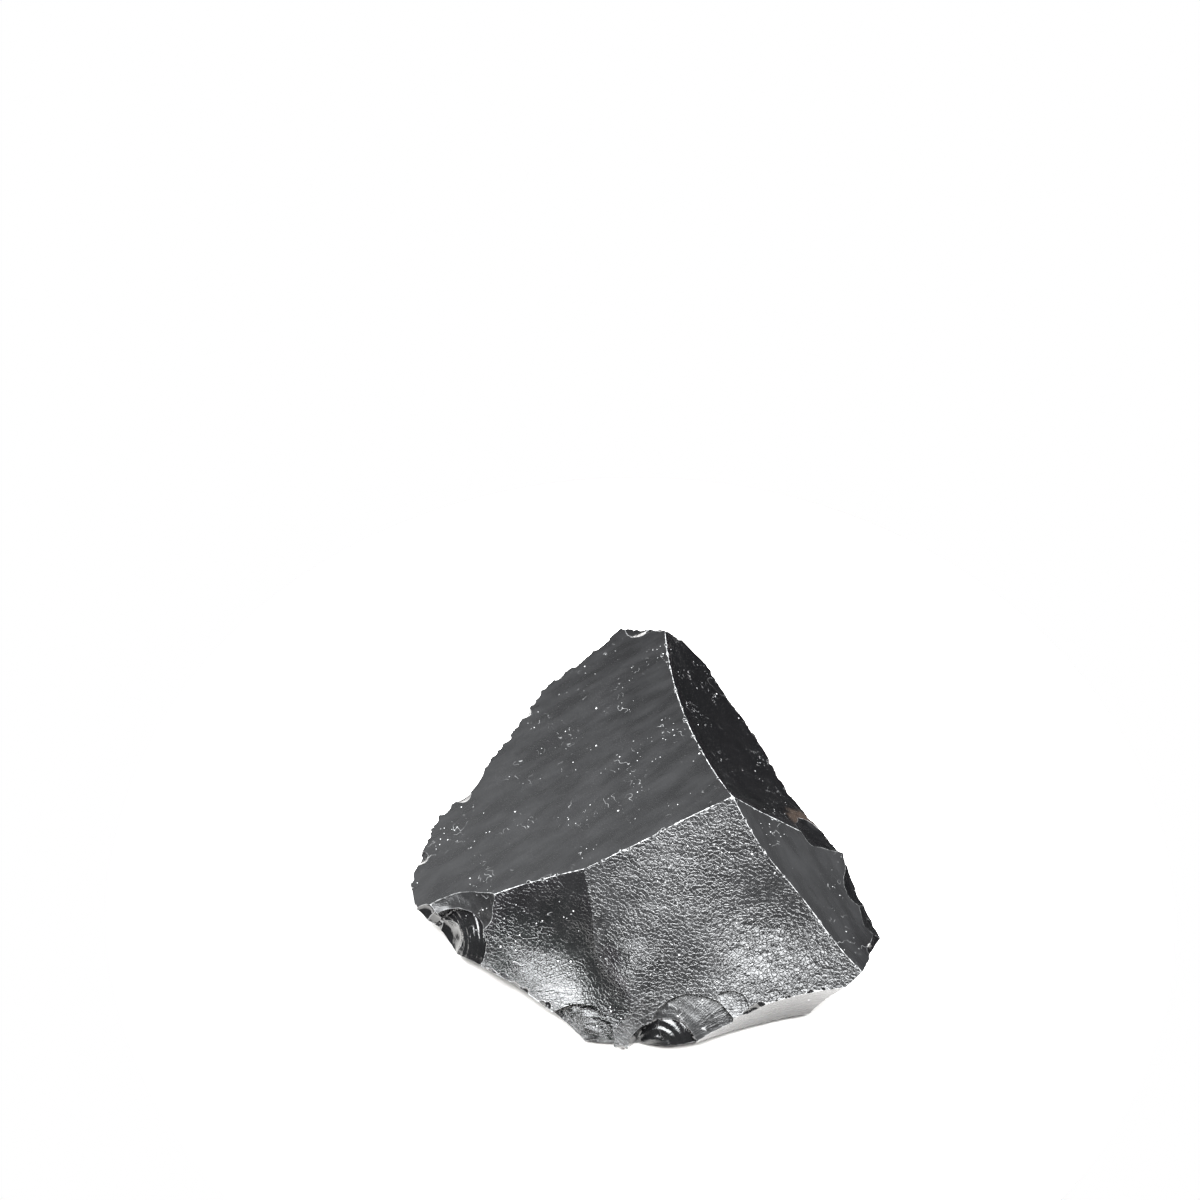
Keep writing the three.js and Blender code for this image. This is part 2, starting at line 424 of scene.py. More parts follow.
def rippled(name, points):
    """The height of a scar's ripples and roughness."""
    height = CRUMBLED.get(name, 1.0) * layered(points, SCAR_RELIEF, SEED)
    if name in RIPPLES:
        blow, spacing, size, reach = RIPPLES[name]
        away = np.linalg.norm(points - np.array(blow), axis=1)
        away = away + layered(points, RIPPLE_WANDER, SEED + 2)
        fade = np.clip(1 - away / reach, 0, 1)
        height += size * fade * np.sin(2 * math.pi * away / spacing)
    return height


class Ball:
    """The dish that a ball leaves. Its height is negative outside the ball, where the chunk is."""

    def __init__(self, name, at, side, radius, depth):
        self.name = name
        side = np.array(side, float) / np.linalg.norm(side)
        self.centre = np.array(at, float) + side * (radius - depth)
        self.radius = radius

    def depth_in(self, points):
        return self.radius - np.linalg.norm(points - self.centre, axis=1)

    def height(self, points):
        height = self.depth_in(points)
        near = height > -NEAR
        pushed = points[near] + OUTLINE_WANDER * wander(points[near], OUTLINE_SIZE)
        height[near] = self.depth_in(pushed) + rippled(self.name, points[near])
        return height


class Step:
    """A scar with a bulging floor and a wall. Its height is negative under the floor or past the wall."""

    def __init__(self, name, at, facing, radius, wall_middle, wall_radius):
        self.name = name
        facing = np.array(facing, float) / np.linalg.norm(facing)
        self.centre = np.array(at, float) - facing * radius
        self.radius = radius
        self.wall_middle, self.wall_radius = np.array(wall_middle, float), wall_radius

    def height(self, points):
        floor_height = np.linalg.norm(points - self.centre, axis=1) - self.radius
        wall_height = self.wall_radius - np.linalg.norm(points - self.wall_middle, axis=1)
        near = np.minimum(floor_height, wall_height) > -NEAR
        floor_height[near] += rippled(self.name, points[near])
        wall_height[near] += layered(points[near], WALL_RELIEF, SEED + 3)
        return np.minimum(floor_height, wall_height)


class Table:
    """The flat face that the chunk rests on."""

    name = "resting_face"

    def height(self, points):
        return -points[:, 2]


class Nicks:
    """Many small balls along the ridges, as one surface."""

    def __init__(self, name, centres, radii):
        self.name = name
        order = np.argsort(centres[:, 0])
        self.centres, self.radii = centres[order], radii[order]

    def height(self, points):
        height = np.full(len(points), NO_NICK)
        points = points + NICK_WANDER * wander(points, NICK_WANDER_SIZE)
        order = np.argsort(points[:, 0], kind="stable")
        across = points[order, 0]
        for centre, radius in zip(self.centres, self.radii):
            first, last = np.searchsorted(across, (centre[0] - radius - 1, centre[0] + radius + 1))
            near = order[first:last]
            inward = radius - np.linalg.norm(points[near] - centre, axis=1)
            height[near] = np.maximum(height[near], inward)
        return height


def edge_nicks(faces, random):
    """Small balls set along the worn edges, in from the true line where the two faces meet."""
    centres, radii = [], []
    for first, second, start, end, spacing, size in WORN_EDGES:
        start_corner, end_corner = np.array(CORNERS[start], float), np.array(CORNERS[end], float)
        run = end_corner - start_corner
        count = max(2, round(np.linalg.norm(run) / spacing))
        points = start_corner + run * random.uniform(0, 1, count)[:, None]
        pair = (faces[first], faces[second])
        for _ in range(6):
            rows = np.stack([slopes(face, points) for face in pair], 1)
            wanted = -np.stack([face.height(points) for face in pair], 1)
            gram = rows @ rows.transpose(0, 2, 1)
            points = points + (rows * np.linalg.solve(gram, wanted[..., None])).sum(1)
        share = random.uniform(*NICK_LEANS, count)[:, None]
        side = rows[:, 0] * share + rows[:, 1] * (1 - share) + random.normal(0, NICK_SWAY, (count, 3))
        side /= np.linalg.norm(side, axis=1)[:, None]
        radius = size * random.uniform(*NICK_SIZES, count)
        depth = radius * random.uniform(*NICK_DEPTHS, count)
        centres.append(points + side * (radius - depth)[:, None])
        radii.append(radius)
    return np.concatenate(centres), np.concatenate(radii)


def chunk_surfaces():
    faces = {name: Face(name) for name in FACES}
    scars = [Ball(name, *scar) for name, scar in SCARS.items()]
    scars += [Step(name, *scar) for name, scar in STEPPED_SCARS.items()]
    centres, radii = edge_nicks(faces, np.random.default_rng(SEED))
    return [Table(), *faces.values(), *scars, Nicks("nicks", centres, radii)]


# ---------------------------------------------------------------- meshing
def ranked(surfaces, points, depth=3):
    """The `depth` highest heights at each point, and which surfaces they are."""
    top = np.full((depth, len(points)), LOWEST)
    who = np.zeros((depth, len(points)), int)
    for index, surface in enumerate(surfaces):
        value, owner = surface.height(points), np.full(len(points), index)
        for level in range(depth):
            better = value > top[level]
            top[level], value = np.where(better, value, top[level]), np.where(better, top[level], value)
            who[level], owner = np.where(better, owner, who[level]), np.where(better, who[level], owner)
    return top, who


def greatest_height(surfaces, points):
    """The height at each point of whichever surface is highest there."""
    best = np.full(len(points), LOWEST)
    for surface in surfaces:
        best = np.maximum(best, surface.height(points))
    return best


def slopes_of(surfaces, who, points):
    """The slopes at each point of the surface that `who` gives for it."""
    rows = np.zeros((len(points), 3))
    for index in np.unique(who):
        mine = who == index
        rows[mine] = slopes(surfaces[index], points[mine])
    return rows


def field_grid(surfaces, low, shape):
    """The greatest height at each grid node, worked out only in the blocks that the surface may cross."""
    values = np.full(shape, 1.0, np.float32)
    block_starts = [np.arange(0, length, BLOCK) for length in shape]
    starts = np.stack(np.meshgrid(*block_starts, indexing="ij"), -1).reshape(-1, 3)
    top = greatest_height(surfaces, low + (starts + BLOCK / 2) * CELL)
    near = np.abs(top) < BLOCK * CELL * 0.5 * math.sqrt(3) + 1.0
    for start in starts[(~near) & (top < 0)]:
        values[tuple(slice(first, first + BLOCK) for first in start)] = -1.0
    offsets = np.stack(np.meshgrid(*[np.arange(BLOCK)] * 3, indexing="ij"), -1).reshape(-1, 3)
    nodes = (starts[near][:, None, :] + offsets[None]).reshape(-1, 3)
    nodes = nodes[(nodes < np.array(shape)).all(1)]
    values[nodes[:, 0], nodes[:, 1], nodes[:, 2]] = greatest_height(surfaces, low + nodes * CELL)
    return values


def surface_nets(values, low):
    """One vertex in each cell that the surface crosses, and one quad for each grid edge that it crosses."""
    inside = values < 0
    size = np.array(values.shape) - 1
    offsets = [(x, y, z) for x in (0, 1) for y in (0, 1) for z in (0, 1)]
    count = np.zeros(size, np.int8)
    for x, y, z in offsets:
        count += inside[x:x + size[0], y:y + size[1], z:z + size[2]]
    cells = np.argwhere((count > 0) & (count < 8))
    index = np.full(size, -1, np.int32)
    index[tuple(cells.T)] = np.arange(len(cells))
    total, crossings = np.zeros((len(cells), 3)), np.zeros(len(cells))
    for start in offsets:
        for axis in range(3):
            if start[axis]:
                continue
            end = np.array(start)
            end[axis] = 1
            start_value = values[tuple((cells + start).T)]
            end_value = values[tuple((cells + end).T)]
            crossed = (start_value < 0) != (end_value < 0)
            share = np.where(crossed, start_value / np.where(crossed, start_value - end_value, 1), 0)
            place = np.array(start) + share[:, None] * (end - start)
            total += place * crossed[:, None]
            crossings += crossed
    vertices = low + (cells + total / crossings[:, None]) * CELL
    centres = low + (cells + 0.5) * CELL
    return vertices, centres, np.concatenate(net_quads(inside, index))


def net_quads(inside, index):
    """For each axis, the quads across the grid edges that leave the chunk, then those that enter it."""
    quads = []
    step = np.eye(3, dtype=int)
    for axis in range(3):
        one_side, other_side = step[(axis + 1) % 3], step[(axis + 2) % 3]
        below = inside[tuple(slice(0, -1) if way == axis else slice(None) for way in range(3))]
        above = inside[tuple(slice(1, None) if way == axis else slice(None) for way in range(3))]
        for entering in (False, True):
            edges = np.argwhere(~below & above) if entering else np.argwhere(below & ~above)
            ring = [edges - one_side - other_side, edges - other_side, edges, edges - one_side]
            quad = np.stack([index[tuple(cells.T)] for cells in ring], 1)
            quads.append(quad[:, ::-1] if entering else quad)
    return quads


def settle(surfaces, vertices, centres, reach, rounds=4):
    """Moves each vertex on to the surface, or on to a ridge or corner within reach of its centre."""
    points = vertices.copy()
    limit = reach[:, None]
    for _ in range(rounds):
        top, who = ranked(surfaces, points)
        rows = [slopes_of(surfaces, who[0], points)]
        move = -top[0][:, None] * rows[0] / (rows[0] ** 2).sum(1)[:, None]
        for level in (1, 2):
            close = np.flatnonzero(top[0] - top[level] < 2 * reach)
            level_rows = np.zeros((len(points), 3))
            level_rows[close] = slopes_of(surfaces, who[level][close], points[close])
            rows.append(level_rows)
            faced = np.stack([row[close] for row in rows], 1)
            wanted = -np.stack([heights[close] for heights in top[: level + 1]], 1)
            gram = faced @ faced.transpose(0, 2, 1) + SOFTENING * np.eye(level + 1)
            step = (faced * np.linalg.solve(gram, wanted[..., None])).sum(1)
            kept = np.abs(points[close] + step - centres[close]).max(1) < reach[close]
            move[close[kept]] = step[kept]
        points = points + np.clip(move, -limit, limit)
        points = np.clip(points, centres - 1.2 * limit, centres + 1.2 * limit)
    return points


def split_quads(surfaces, vertices, quads):
    """Two triangles for each quad, along the diagonal that lies closer to the surface."""
    ends = vertices[quads]
    first = np.abs(greatest_height(surfaces, (ends[:, 0] + ends[:, 2]) / 2))
    second = np.abs(greatest_height(surfaces, (ends[:, 1] + ends[:, 3]) / 2))
    turned = np.where((second < first)[:, None], np.roll(quads, -1, axis=1), quads)
    return np.concatenate((turned[:, [0, 1, 2]], turned[:, [0, 2, 3]]))


def wanted_edge(surfaces, points):
    """The edge length that suits each place."""
    top, who = ranked(surfaces, points, 2)
    wanted = np.full(len(points), PLAIN_EDGE)
    names = np.array([surface.name for surface in surfaces])[who[0]]
    wanted[np.isin(names, ("front_left", "front_right"))] = GRAINY_EDGE
    wanted[top[0] - top[1] < RIDGE_BAND] = RIDGE_EDGE
    wanted[np.isin(names, SCAR_NAMES)] = FINE_EDGE
    wanted[points[:, 2] < SOLE] = PLAIN_EDGE
    return wanted


def refine(surfaces, vertices, triangles):
    """Halves the edges that are too long for their place, and sets the new vertices on the surface."""
    pairs = np.sort(np.concatenate([triangles[:, [i, (i + 1) % 3]] for i in range(3)]), axis=1)
    edges, back = np.unique(pairs, axis=0, return_inverse=True)
    back = back.reshape(3, -1).T
    ends = vertices[edges]
    length = np.linalg.norm(ends[:, 0] - ends[:, 1], axis=1)
    middles = ends.mean(1)
    split = np.flatnonzero(length > SPLIT_OVER * wanted_edge(surfaces, middles))
    number = np.full(len(edges), -1)
    number[split] = len(vertices) + np.arange(len(split))
    added = settle(surfaces, middles[split], middles[split], length[split] * SPLIT_REACH)
    return np.concatenate((vertices, added)), np.concatenate(parts_of(triangles, number[back]))


def parts_of(triangles, halves):
    """Cuts each triangle at the halfway vertices that its three edges have, where -1 is none."""
    bits = np.array((1, 2, 4))
    cuts = (halves >= 0) @ bits
    parts = [triangles[cuts == 0]]
    for turn in range(3):
        ends, mids = np.roll(triangles, -turn, 1), np.roll(halves, -turn, 1)
        code = (mids >= 0) @ bits
        one = code == 1
        parts.append(np.c_[ends[one, 0], mids[one, 0], ends[one, 2]])
        parts.append(np.c_[mids[one, 0], ends[one, 1], ends[one, 2]])
        two = code == 3
        parts.append(np.c_[mids[two, 0], ends[two, 1], mids[two, 1]])
        parts.append(np.c_[ends[two, 0], mids[two, 0], mids[two, 1]])
        parts.append(np.c_[ends[two, 0], mids[two, 1], ends[two, 2]])
    ends, mids = triangles[cuts == 7], halves[cuts == 7]
    parts.append(np.c_[ends[:, 0], mids[:, 0], mids[:, 2]])
    parts.append(np.c_[mids[:, 0], ends[:, 1], mids[:, 1]])
    parts.append(np.c_[mids[:, 2], mids[:, 1], ends[:, 2]])
    parts.append(np.c_[mids[:, 0], mids[:, 1], mids[:, 2]])
    return parts


def welded(vertices, triangles):
    """Joins the points that share a spot, and drops the triangles that this closes up."""
    spots = np.round(vertices / SAME_SPOT)
    _, first, spot = np.unique(spots, axis=0, return_index=True, return_inverse=True)
    triangles = spot.ravel()[triangles]
    triangles = triangles[(triangles != np.roll(triangles, 1, axis=1)).all(1)]
    _, kept, copies = np.unique(np.sort(triangles, axis=1), axis=0, return_index=True, return_counts=True)
    triangles = triangles[np.sort(kept[copies % 2 == 1])]
    used, triangles = np.unique(triangles, return_inverse=True)
    return vertices[first][used], triangles.reshape(-1, 3)


def chunk_mesh(surfaces):
    corners = np.array(list(CORNERS.values()), float)
    low, high = corners.min(0) - 4 * CELL, corners.max(0) + 4 * CELL
    shape = tuple(np.ceil((high - low) / CELL).astype(int))
    values = field_grid(surfaces, low, shape)
    vertices, centres, quads = surface_nets(values, low)
    vertices = settle(surfaces, vertices, centres, np.full(len(vertices), CELL_REACH * CELL))
    triangles = split_quads(surfaces, vertices, quads)
    for _ in range(3):
        vertices, triangles = refine(surfaces, vertices, triangles)
    return welded(vertices, triangles)


# ---------------------------------------------------------------- the piece and what its material reads
def fanned(away):
    """The distance from a blow, and the way round it as a length."""
    return np.linalg.norm(away, axis=1), np.arctan2(away[:, 1], away[:, 0]) * FAN_RADIUS


def flow_coordinates(surfaces, owner, points):
    """How far each point lies along and across its face's grain, straight or fanned out from a blow."""
    flow = np.zeros((len(points), 3))
    for index in np.unique(owner):
        mine = owner == index
        name = surfaces[index].name
        if name in GRAIN_LINES:
            start, end = (np.array(point, float) for point in GRAIN_LINES[name])
            way = (end - start) / np.linalg.norm(end - start)
            side = np.cross(surfaces[index].axes[2], way)
            flow[mine, 0] = (points[mine] - start) @ way
            flow[mine, 1] = (points[mine] - start) @ side
        elif name in BLOWS:
            away = (points[mine] - np.array(BLOWS[name])) @ surfaces[index].axes[:2].T
            flow[mine, 0], flow[mine, 1] = fanned(away)
        elif name in RIPPLES:
            away = points[mine] - np.array(RIPPLES[name][0])
            flow[mine, 0], flow[mine, 1] = fanned(away)
        else:
            flow[mine] = points[mine]
    return flow


def paint(mesh, name, kind, domain, values):
    """Stores values on the mesh, for the material to read."""
    field = "vector" if kind == "FLOAT_VECTOR" else "value"
    layer = mesh.attributes.new(name, kind, domain)
    layer.data.foreach_set(field, np.ascontiguousarray(values, np.float32).ravel())


def paint_ridges(mesh, surfaces, names, vertices):
    """How far each vertex is from the nearest ridge, in mm, and how white that ridge is painted, as wear and
    as painted highlight.
    """
    top, who = ranked(surfaces, vertices)
    ways = [slopes_of(surfaces, who[level], vertices) for level in (0, 1)]
    ways = [way / np.linalg.norm(way, axis=1)[:, None] for way in ways]
    sine = np.linalg.norm(np.cross(*ways), axis=1)
    ridge = (top[0] - top[1]) / np.maximum(sine, LEAST_SINE)
    first, second = names[who[0]], names[who[1]]
    great = np.isin(first, WHITE_RIDGES) & np.isin(second, WHITE_RIDGES)
    scarred = np.isin(first, SCAR_NAMES) | np.isin(second, SCAR_NAMES)
    wear_and_highlight = np.select((great, scarred), (GREAT_WEAR_AND_HIGHLIGHT, SCAR_WEAR_AND_HIGHLIGHT), OTHER_WEAR_AND_HIGHLIGHT)
    wear_and_highlight = wear_and_highlight * np.clip((sine - WEAR_AND_HIGHLIGHT_FROM) / WEAR_AND_HIGHLIGHT_GROWTH, 0, 1)
    wear_and_highlight[(first == "right_end") | (second == "right_end")] *= RIGHT_END_SHARE
    paint(mesh, "ridge", "FLOAT", "POINT", np.clip(ridge, 0, FARTHEST_RIDGE))
    paint(mesh, "wear_and_highlight", "FLOAT", "POINT", wear_and_highlight)


def paint_faces(mesh, surfaces, names, corners):
    """Each triangle's finish, stain and flow, from the surface that it lies on."""
    middles = corners.mean(1)
    owner = ranked(surfaces, middles, 1)[1][0]
    finish = np.array([FINISH.get(name, SCAR_FINISH) for name in names])[owner]
    for middle, radius, change in GRAIN_SPOTS:
        away = middles - np.array(middle)
        finish[:, 1] *= 1 + change * np.exp(-(away * away).sum(1) / radius**2)
    for column, name in enumerate(("gloss_loss", "grain", "streaks", "film_and_sheen")):
        paint(mesh, name, "FLOAT", "FACE", finish[:, column])
    face, middle, radius = STAIN
    away = np.linalg.norm(middles - np.array(middle), axis=1)
    stain = np.where(names[owner] == face, np.clip(1.6 - away / radius, 0, 1), 0)
    paint(mesh, "stain", "FLOAT", "FACE", stain)
    flow = flow_coordinates(surfaces, np.repeat(owner, 3), corners.reshape(-1, 3))
    paint(mesh, "flow", "FLOAT_VECTOR", "CORNER", flow)


def build_chunk():
    surfaces = chunk_surfaces()
    vertices, triangles = chunk_mesh(surfaces)
    box_low, box_high = (np.array(corner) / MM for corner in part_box("chunk"))
    shift = np.array((
        box_low[0] - CORNERS["rim_left_tip"][0],
        box_high[1] - CORNERS["rim_back_left"][1],
        box_low[2],
    ))
    mesh = bpy.data.meshes.new("obsidian_chunk")
    mesh.from_pydata(((vertices + shift) * MM).tolist(), [], triangles.tolist())
    names = np.array([surface.name for surface in surfaces])
    paint_ridges(mesh, surfaces, names, vertices)
    paint_faces(mesh, surfaces, names, vertices[triangles])

    piece = bpy.data.objects.new("obsidian_chunk", mesh)
    bpy.context.scene.collection.objects.link(piece)
    mesh.shade_smooth()
    mesh.set_sharp_from_angle(angle=math.radians(30))
    return piece


# ---------------------------------------------------------------- material
class Nodes:
    """A material's node tree, with short calls to add and join nodes."""

    def __init__(self, name):
        self.material = bpy.data.materials.new(name)
        self.material.use_nodes = True
        self.tree = self.material.node_tree
        self.shader = self.tree.nodes["Principled BSDF"]

    def add(self, kind, inputs=(), **settings):
        node = self.tree.nodes.new(kind)
        for key, value in settings.items():
            setattr(node, key, value)
        for key, value in dict(inputs).items():
            self.put(node, key, value)
        return node

    def put(self, node, key, value):
        if isinstance(value, bpy.types.NodeSocket):
            self.tree.links.new(value, node.inputs[key])
        else:
            node.inputs[key].default_value = value

    def maths(self, operation, *values):
        return self.add("ShaderNodeMath", dict(enumerate(values)), operation=operation).outputs[0]

    def times(self, first, second):
        return self.maths("MULTIPLY", first, second)

    def greater(self, first, second):
        return self.maths("MAXIMUM", first, second)

    def attribute(self, name, output="Fac"):
        return self.add("ShaderNodeAttribute", attribute_name=name).outputs[output]

    def noise(self, place, size, detail=2.0, roughness=0.5):
        """Noise from 0 to 1 with hills `size` mm apart, where `place` is in metres."""
        inputs = {"Vector": place, "Scale": 1 / (size * MM), "Detail": detail, "Roughness": roughness}
        return self.add("ShaderNodeTexNoise", inputs).outputs["Fac"]

    def stretch(self, vector, factors):
        inputs = {0: vector, 1: factors}
        return self.add("ShaderNodeVectorMath", inputs, operation="MULTIPLY").outputs[0]

    def blend(self, factor, start, end):
        return self.add("ShaderNodeMix", {0: factor, 6: start, 7: end}, data_type="RGBA").outputs[2]

    def step(self, value, low, high, at_low=0.0, at_high=1.0):
        """Runs smoothly from `at_low` to `at_high` while the value runs from `low` to `high`."""
        inputs = {0: value, 1: low, 2: high, 3: at_low, 4: at_high}
        return self.add("ShaderNodeMapRange", inputs, interpolation_type="SMOOTHSTEP").outputs[0]

    def dots(self, place, spacing, share, smallest, largest):
        """Round specks: a share of the cells of this spacing hold one, between these radii in mm."""
        cells = self.add("ShaderNodeTexVoronoi", {"Vector": place, "Scale": 1 / (spacing * MM)})
        chance = self.add("ShaderNodeSeparateColor", {0: cells.outputs["Color"]})
        there = self.maths("LESS_THAN", chance.outputs["Red"], share)
        radius = self.step(chance.outputs["Green"], 0.0, 1.0, smallest / spacing, largest / spacing)
        edge = self.maths("DIVIDE", cells.outputs["Distance"], radius)
        return self.times(there, self.step(edge, 0.7, 1.1, 1.0, 0.0))


def bent_place(nodes, place):
    """The place, pushed about a little, so that what is drawn on it isn't perfectly round."""
    inputs = {"Vector": place, "Scale": 1 / (0.5 * MM), "Detail": 1.0}
    warp = nodes.add("ShaderNodeTexNoise", inputs).outputs["Color"]
    push = nodes.stretch(warp, (0.25 * MM,) * 3)
    return nodes.add("ShaderNodeVectorMath", {0: push, 1: place}, operation="ADD").outputs[0]


def crushed_and_highlit_line(nodes, place):
    """The crushed glass and painted highlight along the ridges, as a ragged pale line."""
    ragged = nodes.maths("MULTIPLY_ADD", nodes.noise(place, 0.8, 3.0), 0.32, -0.11)
    distance = nodes.maths("SUBTRACT", nodes.attribute("ridge"), ragged)
    return nodes.times(nodes.step(distance, -0.05, 0.03, 1.0, 0.0), nodes.attribute("wear_and_highlight"))


def dust_and_painted_glints(nodes, place, bent, streaks):
    """Lone specks of dust, clusters of finer ones with short hairlines among them, and painted glints on
    streaked faces.
    """
    specks = nodes.dots(bent, spacing=1.9, share=0.22, smallest=0.06, largest=0.17)
    cluster = nodes.step(nodes.noise(place, 6.0, 1.0), 0.50, 0.64)
    fine = nodes.times(nodes.dots(bent, spacing=0.6, share=0.35, smallest=0.04, largest=0.12), cluster)
    level = nodes.maths("ABSOLUTE", nodes.maths("SUBTRACT", nodes.noise(place, 3.0, 2.0), 0.5))
    broken = nodes.step(nodes.noise(place, 1.6, 1.0), 0.52, 0.6)
    hairs = nodes.times(nodes.times(nodes.step(level, 0.0, 0.008, 1.0, 0.0), broken), cluster)
    # painted glints: pale specks in the colour that stand in for sparkle on the streaked faces
    glints = nodes.dots(bent, spacing=0.85, share=0.20, smallest=0.05, largest=0.13)
    glints = nodes.times(glints, nodes.step(streaks, 0.7, 1.0))
    dust_and_glints = nodes.greater(nodes.times(specks, 0.7), nodes.times(fine, 0.45))
    dust_and_glints = nodes.greater(dust_and_glints, nodes.times(hairs, 0.22))
    return nodes.greater(dust_and_glints, nodes.times(glints, 0.6))


def small_relief(nodes, place, bent, flow, grain, streaks):
    """Orange peel that comes and goes, grooves between its cells, and hackles drawn out along the grain."""
    crisp = nodes.step(nodes.noise(place, 3.6, 2.0), 0.40, 0.62, 0.60, 1.1)
    inputs = {"Vector": bent, "Scale": 1 / (0.62 * MM)}
    cells = nodes.add("ShaderNodeTexVoronoi", inputs, feature="DISTANCE_TO_EDGE")
    grooves = nodes.step(cells.outputs["Distance"], 0.0, 0.16, 0.0, 0.24)
    drawn = nodes.noise(nodes.stretch(flow, (0.5, 1.8, 1.0)), 0.55, 3.0, 0.6)
    peel = nodes.maths("MULTIPLY_ADD", drawn, 0.75, grooves)
    peel = nodes.times(nodes.times(peel, crisp), grain)
    crinkles = nodes.noise(nodes.stretch(flow, (0.6, 1.4, 1.0)), 1.1, 2.0)
    crinkles = nodes.times(crinkles, nodes.step(grain, 1.02, 1.18))
    peel = nodes.maths("MULTIPLY_ADD", crinkles, 0.9, peel)
    hackles = nodes.noise(nodes.stretch(flow, (0.30, 2.2, 1.0)), 1.0, 3.0, 0.6)
    height = nodes.maths("MULTIPLY_ADD", nodes.times(hackles, streaks), 0.6, peel)
    return nodes.add("ShaderNodeBump", {"Height": height, "Distance": 0.2 * MM, "Strength": 1.0})


def obsidian():
    nodes = Nodes("obsidian")
    place = nodes.add("ShaderNodeTexCoord").outputs["Object"]
    bent = bent_place(nodes, place)
    flow = nodes.stretch(nodes.attribute("flow", "Vector"), (MM, MM, MM))
    grain, streaks = nodes.attribute("grain"), nodes.attribute("streaks")
    ridge_crush_and_highlight = crushed_and_highlit_line(nodes, place)
    dust_and_glints = dust_and_painted_glints(nodes, place, bent, streaks)

    # the glass, under a faint film that follows the grain (thicker on the lip as painted reflection), a
    # weathered stain, dust with painted glints, and ridges whitened as crushed glass and painted highlight
    bands = nodes.noise(nodes.stretch(flow, (0.10, 0.30, 1.0)), 1.0, 3.0, 0.6)
    haze_and_sheen = nodes.times(nodes.attribute("film_and_sheen"), nodes.step(bands, 0.3, 0.75, 0.3, 1.6))
    stain = nodes.times(nodes.attribute("stain"), nodes.noise(place, 1.2, 3.0))
    stain = nodes.times(nodes.step(stain, 0.14, 0.34), 0.75)
    colour = nodes.blend(haze_and_sheen, GLASS, FILM_AND_SHEEN)
    colour = nodes.blend(stain, colour, WEATHERED)
    # dust specks and painted glints
    colour = nodes.blend(dust_and_glints, colour, DUST_AND_GLINT)
    # ridges whitened as crushed glass and painted highlight
    colour = nodes.blend(ridge_crush_and_highlight, colour, CRUSHED_AND_HIGHLIGHT)
    nodes.put(nodes.shader, "Base Color", colour)

    smear = nodes.maths("MULTIPLY_ADD", nodes.step(bands, 0.3, 0.7), 0.05, nodes.attribute("gloss_loss"))
    whitened = nodes.times(nodes.greater(dust_and_glints, ridge_crush_and_highlight), 0.7)
    nodes.put(nodes.shader, "Roughness", nodes.greater(smear, whitened))
    nodes.put(nodes.shader, "IOR", 1.5)

    bump = small_relief(nodes, place, bent, flow, grain, streaks)
    nodes.put(nodes.shader, "Normal", bump.outputs["Normal"])
    return nodes.material


def matt(name, colour, roughness):
    """A material that doesn't shine."""
    nodes = Nodes(name)
    nodes.put(nodes.shader, "Base Color", colour)
    nodes.put(nodes.shader, "Roughness", roughness)
    nodes.put(nodes.shader, "Specular IOR Level", 0.0)
    return nodes.material


# ---------------------------------------------------------------- the studio
def softbox(name, corner, width_way, depth_way, glow):
    """A rectangular light spanned from one corner by two vectors, in metres, with this radiance."""
    corner, width_way, depth_way = Vector(corner), Vector(width_way), Vector(depth_way)
    light = bpy.data.lights.new(name, "AREA")
    light.shape = "RECTANGLE"
    light.size, light.size_y = width_way.length, depth_way.length
    light.energy = glow * math.pi * light.size * light.size_y
    light.color = LIGHT_COLOUR
    lamp = bpy.data.objects.new(name, light)
    bpy.context.scene.collection.objects.link(lamp)
    x, y = width_way.normalized(), depth_way.normalized()
    lamp.matrix_world = Matrix((x, y, x.cross(y))).transposed().to_4x4()
    lamp.location = corner + (width_way + depth_way) / 2
    lamp.visible_camera = False


def level_way(turn):
    """The level direction at this many degrees from the viewer's side round to the right."""
    angle = math.radians(turn)
    return Vector((math.sin(angle), -math.cos(angle), 0))


def panel(name, turn, low, high, width, glow):
    """An upright light that faces the chunk, between two heights given as angles."""
    low_edge = LIGHT_DISTANCE * math.tan(math.radians(low))
    high_edge = LIGHT_DISTANCE * math.tan(math.radians(high))
    bottom = level_way(turn) * LIGHT_DISTANCE + Vector((0, 0, low_edge))
    sideways = level_way(turn + 90) * width
    softbox(name, bottom - sideways / 2, sideways, (0, 0, high_edge - low_edge), glow)


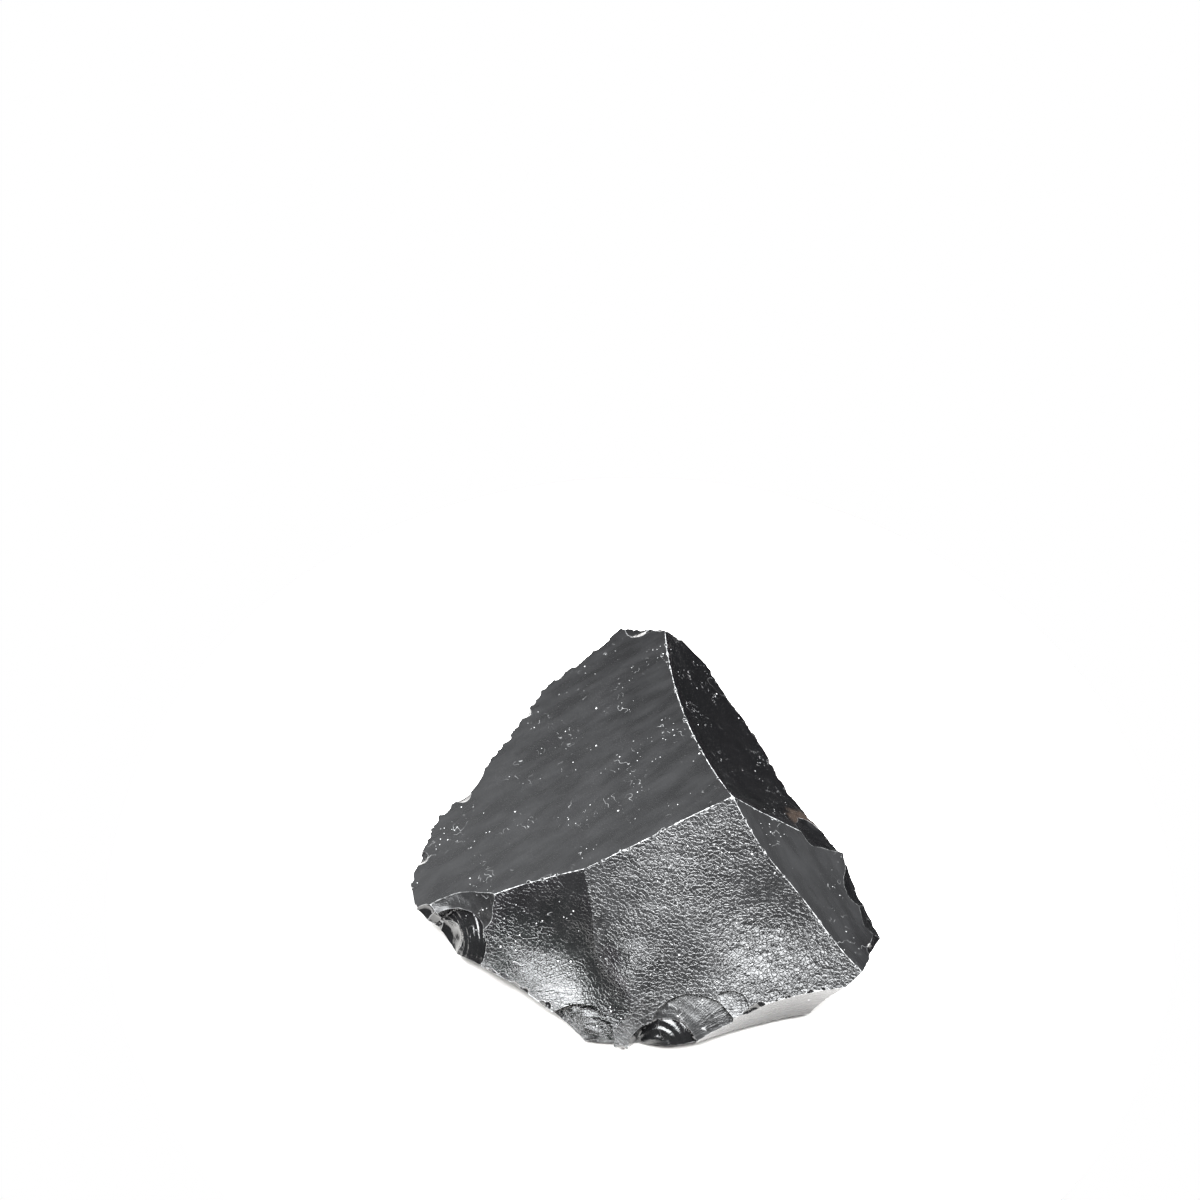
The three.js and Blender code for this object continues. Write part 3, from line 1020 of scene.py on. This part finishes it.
def backdrop():
    """A dim white surround that the camera sees as plain white."""
    world = bpy.data.worlds.new("studio")
    bpy.context.scene.world = world
    world.use_nodes = True
    tree = world.node_tree
    dim = tree.nodes["Background"]
    dim.inputs["Color"].default_value = (1, 1, 1, 1)
    dim.inputs["Strength"].default_value = 0.25
    white = tree.nodes.new("ShaderNodeBackground")
    white.inputs["Color"].default_value = (1, 1, 1, 1)
    path = tree.nodes.new("ShaderNodeLightPath")
    mix = tree.nodes.new("ShaderNodeMixShader")
    tree.links.new(path.outputs["Is Camera Ray"], mix.inputs[0])
    tree.links.new(dim.outputs[0], mix.inputs[1])
    tree.links.new(white.outputs[0], mix.inputs[2])
    tree.links.new(mix.outputs[0], tree.nodes["World Output"].inputs["Surface"])


def studio_thing(name, points, faces, material):
    """A thing that stands in the studio and isn't part of the chunk."""
    mesh = bpy.data.meshes.new(name)
    mesh.from_pydata(points, [], faces)
    mesh.materials.append(material)
    thing = bpy.data.objects.new(name, mesh)
    bpy.context.scene.collection.objects.link(thing)
    return thing


def black_card():
    """A dark card, flat and then folded up, that only reflections see, on the right slope's side."""
    lift, up = Vector((0, 0, 0.0003)), Vector((0, 0, 0.022))
    near = [Vector((0.008, 0.036, 0)) + lift, Vector((0.038, -0.016, 0)) + lift]
    far = [Vector((0.020, 0.058, 0)) + lift, Vector((0.062, -0.026, 0)) + lift]
    points = [*near, *far, far[0] + up, far[1] + up]
    faces = [(0, 1, 3, 2), (2, 3, 5, 4)]
    card = studio_thing("black_card", points, faces, matt("black_card", CARD, 1.0))
    card.visible_camera = False
    card.visible_diffuse = False
    card.visible_transmission = False
    card.visible_shadow = False


def floor():
    segments, radius = 96, 0.09
    ring = []
    for index in range(segments):
        angle = 2 * math.pi * index / segments
        ring.append((radius * math.cos(angle), radius * math.sin(angle), 0))
    disc = studio_thing("floor", ring, [list(range(segments))], matt("pale_floor", PALE, 0.9))


def camera():
    lens = bpy.data.cameras.new("camera")
    lens.lens, lens.sensor_width = 75, 36
    eye = bpy.data.objects.new("camera", lens)
    bpy.context.scene.collection.objects.link(eye)
    eye.location = (-0.0068, -0.2460, 0.3506)
    eye.rotation_euler = (math.radians(90 - LOOK_DOWN), 0, 0)
    bpy.context.scene.camera = eye


chunk = build_chunk()
chunk.data.materials.append(obsidian())
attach(chunk, "root")
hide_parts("chunk")
floor()
black_card()
camera()
softbox("overhead_softbox", corner=(-0.46, -0.385, 0.7), width_way=(1, 0, 0), depth_way=(0, 0.74, 0), glow=30)
panel("left_softbox", turn=-126, low=4, high=34, width=0.5, glow=1.1)
panel("right_softbox", turn=118, low=2, high=26, width=0.42, glow=0.5)
backdrop()
bpy.context.scene.view_settings.view_transform = "Standard"
bpy.context.view_layer.update()
